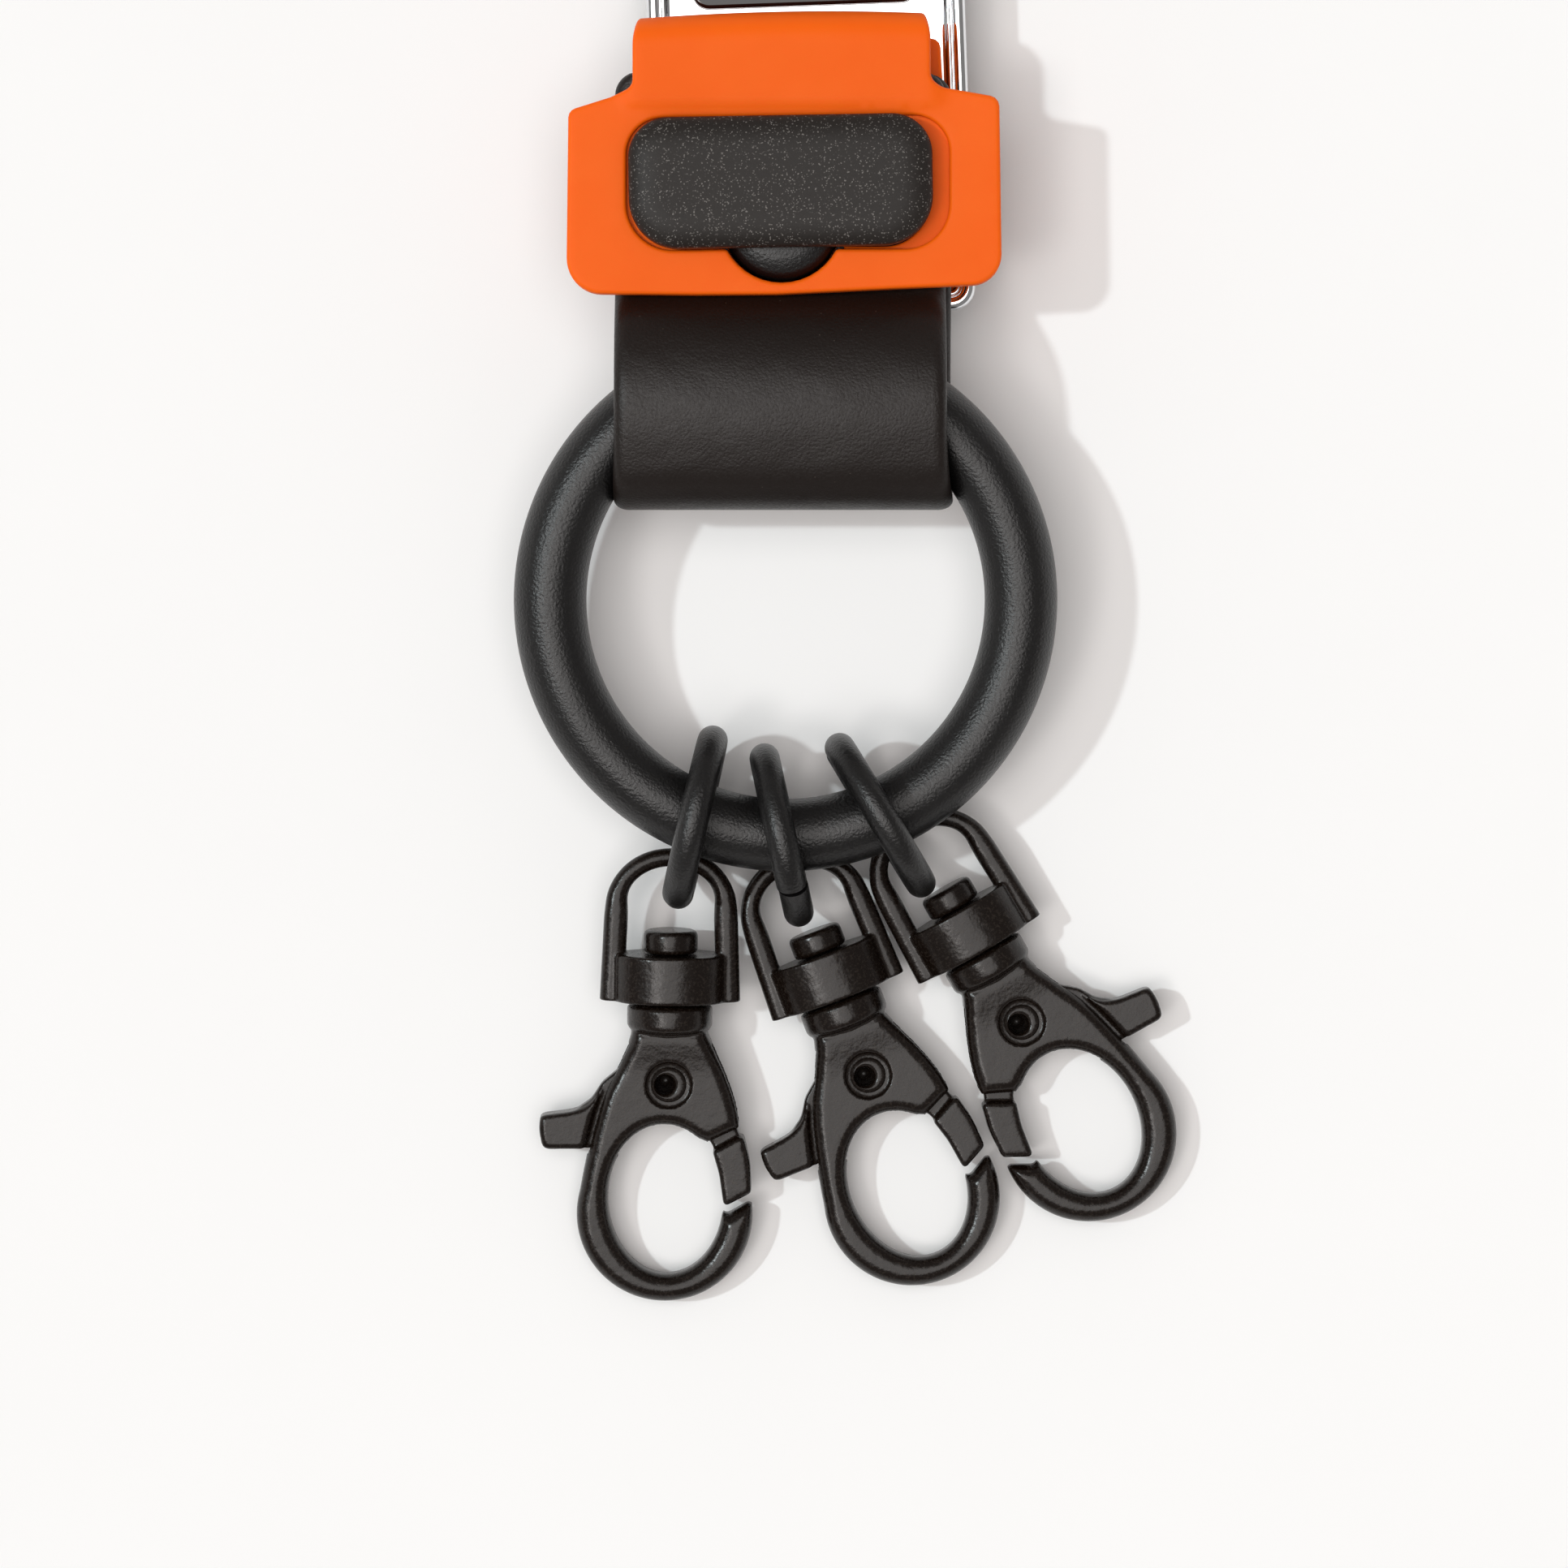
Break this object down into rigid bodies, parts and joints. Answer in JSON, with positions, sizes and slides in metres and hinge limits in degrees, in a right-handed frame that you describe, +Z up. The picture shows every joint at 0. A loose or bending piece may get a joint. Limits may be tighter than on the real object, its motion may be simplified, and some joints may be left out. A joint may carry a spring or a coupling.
{
  "type": "key ring with belt clip",
  "caption": "Key ring with a belt clip plate, a rubber latch buttoned on a peg, a strap loop, a big ring and swivel clasps with sprung levers.",
  "frame": {"origin": "middle of the belt leaf's flat outer face, on the surface that the key ring lies on", "axes": "+Z up out of the front of the key ring, +Y from the clasps towards the belt clip, +X to the right seen from the front"},
  "size_m": [0.0551, 0.1324, 0.0168],
  "materials": {
    "chrome_plate": "bright polished chrome plating",
    "spring_steel": "bright steel",
    "black_backing": "satin black lacquer",
    "gloss_panel": "gloss black",
    "orange_rubber": "satin orange",
    "black_rubber": "satin black",
    "matte_black_ring": "matte black coating",
    "sanded_black": "matte black with a fine sparkle",
    "clasp_black": "semi-gloss black"
  },
  "bodies": {
    "clip": {"chrome_tray": "chrome_plate", "clip_backing": "black_backing", "gloss_inlay": "gloss_panel", "latch_rivet_left": "spring_steel", "latch_rivet_right": "spring_steel", "plate_rivet_left": "spring_steel", "plate_rivet_right": "spring_steel", "hinge_pin": "spring_steel", "clip_spring": "spring_steel", "latch_base": "orange_rubber", "latch_peg": "sanded_black", "peg_washer": "spring_steel", "strap_back_leg": "black_rubber", "strap_front_leg": "black_rubber"},
    "belt_leaf": {"belt_leaf": "spring_steel"},
    "latch_tab": {"latch_tab": "orange_rubber"},
    "strap_loop": {"strap_loop": "black_rubber"},
    "big_ring": {"big_ring": "matte_black_ring"},
    "jump_ring_1": {"jump_ring_1": "matte_black_ring"},
    "bail_1": {"bail_1": "clasp_black"},
    "clasp_1": {"swivel_pin_1": "clasp_black", "clasp_body_1": "clasp_black", "lever_rivet_1": "clasp_black"},
    "lever_1": {"lever_1": "clasp_black", "lever_spring_1": "spring_steel"},
    "jump_ring_2": {"jump_ring_2": "matte_black_ring"},
    "bail_2": {"bail_2": "clasp_black"},
    "clasp_2": {"swivel_pin_2": "clasp_black", "clasp_body_2": "clasp_black", "lever_rivet_2": "clasp_black"},
    "lever_2": {"lever_2": "clasp_black", "lever_spring_2": "spring_steel"},
    "jump_ring_3": {"jump_ring_3": "matte_black_ring"},
    "bail_3": {"bail_3": "clasp_black"},
    "clasp_3": {"swivel_pin_3": "clasp_black", "clasp_body_3": "clasp_black", "lever_rivet_3": "clasp_black"},
    "lever_3": {"lever_3": "clasp_black", "lever_spring_3": "spring_steel"}
  },
  "joints": [
    {"name": "belt_leaf_hinge", "type": "hinge", "parent": "clip", "child": "belt_leaf", "pos_m": [-0.00066, 0.01799, 0.00305], "axis": [0.9993, 0.0366, 0], "range_deg": [0, 25], "stiffness_Nm_per_rad": 0.03, "springref_deg": -20.05, "deforming": ["clip_spring"]},
    {"name": "latch_lift", "type": "hinge", "parent": "clip", "child": "latch_tab", "pos_m": [-0.00216, -0.00035, 0.0142], "axis": [-1, 0, 0], "range_deg": [0, 100], "stiffness_Nm_per_rad": 0.003},
    {"name": "strap_bend", "type": "hinge", "parent": "clip", "child": "strap_loop", "pos_m": [-0.00216, -0.01995, 0.0119], "axis": [-1, 0, 0], "range_deg": [-5, 30], "stiffness_Nm_per_rad": 0.05},
    {"name": "ring_turn", "type": "hinge", "parent": "strap_loop", "child": "big_ring", "pos_m": [-0.00183, -0.04487, 0.00942], "axis": [0, -0.0808, 0.9967], "range_deg": [-60, 60]},
    {"name": "jump_ring_1_swing", "type": "hinge", "parent": "big_ring", "child": "jump_ring_1", "pos_m": [-0.00929, -0.06274, 0.00798], "axis": [-0.9751, 0.2217, 0], "range_deg": [-30, 60]},
    {"name": "bail_1_swing", "type": "hinge", "parent": "jump_ring_1", "child": "bail_1", "pos_m": [-0.01008, -0.0662, 0.00578], "axis": [0, 0, -1], "range_deg": [0, 20]},
    {"name": "clasp_1_swivel", "type": "hinge", "parent": "bail_1", "child": "clasp_1", "pos_m": [-0.01142, -0.07608, 0.00468], "axis": [-0.0139, -0.9939, -0.1097], "range_deg": [-90, 90]},
    {"name": "lever_1_pivot", "type": "hinge", "parent": "clasp_1", "child": "lever_1", "pos_m": [-0.01154, -0.08486, 0.00372], "axis": [0.0015, 0.1097, -0.994], "range_deg": [0, 25], "stiffness_Nm_per_rad": 0.0015, "springref_deg": -17.19},
    {"name": "jump_ring_2_swing", "type": "hinge", "parent": "big_ring", "child": "jump_ring_2", "pos_m": [-0.00217, -0.06422, 0.00785], "axis": [0.977, 0.213, 0], "range_deg": [-60, 30]},
    {"name": "bail_2_swing", "type": "hinge", "parent": "jump_ring_2", "child": "bail_2", "pos_m": [-0.00168, -0.06647, 0.00438], "axis": [-0.9348, -0.3551, 0], "range_deg": [0, 18]},
    {"name": "clasp_2_swivel", "type": "hinge", "parent": "bail_2", "child": "clasp_2", "pos_m": [0.00187, -0.07591, 0.00374], "axis": [0.3544, -0.933, -0.0628], "range_deg": [-90, 90]},
    {"name": "lever_2_pivot", "type": "hinge", "parent": "clasp_2", "child": "lever_2", "pos_m": [0.005, -0.08415, 0.00319], "axis": [-0.0223, 0.0587, -0.998], "range_deg": [0, 14], "stiffness_Nm_per_rad": 0.0015, "springref_deg": -17.19},
    {"name": "jump_ring_3_swing", "type": "hinge", "parent": "big_ring", "child": "jump_ring_3", "pos_m": [0.00598, -0.06259, 0.00799], "axis": [-0.8554, -0.518, 0], "range_deg": [-30, 60]},
    {"name": "bail_3_swing", "type": "hinge", "parent": "jump_ring_3", "child": "bail_3", "pos_m": [0.00707, -0.06439, 0.00439], "axis": [0, 0, 1], "range_deg": [0, 8]},
    {"name": "clasp_3_swivel", "type": "hinge", "parent": "bail_3", "child": "clasp_3", "pos_m": [0.01336, -0.07212, 0.00375], "axis": [0.4989, -0.8642, -0.0645], "range_deg": [-90, 90]},
    {"name": "lever_3_pivot", "type": "hinge", "parent": "clasp_3", "child": "lever_3", "pos_m": [0.01776, -0.07975, 0.00318], "axis": [0.0323, -0.0559, 0.9979], "range_deg": [0, 25], "stiffness_Nm_per_rad": 0.0015, "springref_deg": -17.19}
  ]
}
